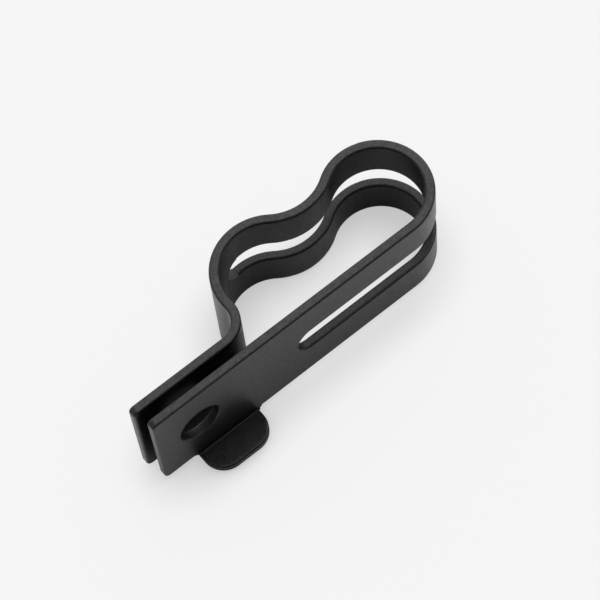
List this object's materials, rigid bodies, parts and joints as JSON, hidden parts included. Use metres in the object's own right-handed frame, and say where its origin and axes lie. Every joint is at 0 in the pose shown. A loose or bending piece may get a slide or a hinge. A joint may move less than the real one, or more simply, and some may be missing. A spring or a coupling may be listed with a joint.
{
  "type": "cable clamp",
  "caption": "Folded metal strap clamp with round cable seats, a lengthwise slot and a bent locating tab, closed on its cables by a bolt through the paired tails.",
  "frame": {"origin": "on the bolt's axis, in the seating face of the front leg and at the middle of the strip's width", "axes": "+X from the bolt towards the head loop, +Y from the seating face into the clamp along the bolt, +Z across the strip, away from the locating tab"},
  "size_m": [0.0568, 0.0223, 0.0197],
  "materials": {
    "coated_strip": "satin black coating"
  },
  "bodies": {
    "root": {"clamp_strip": "coated_strip"}
  },
  "joints": []
}
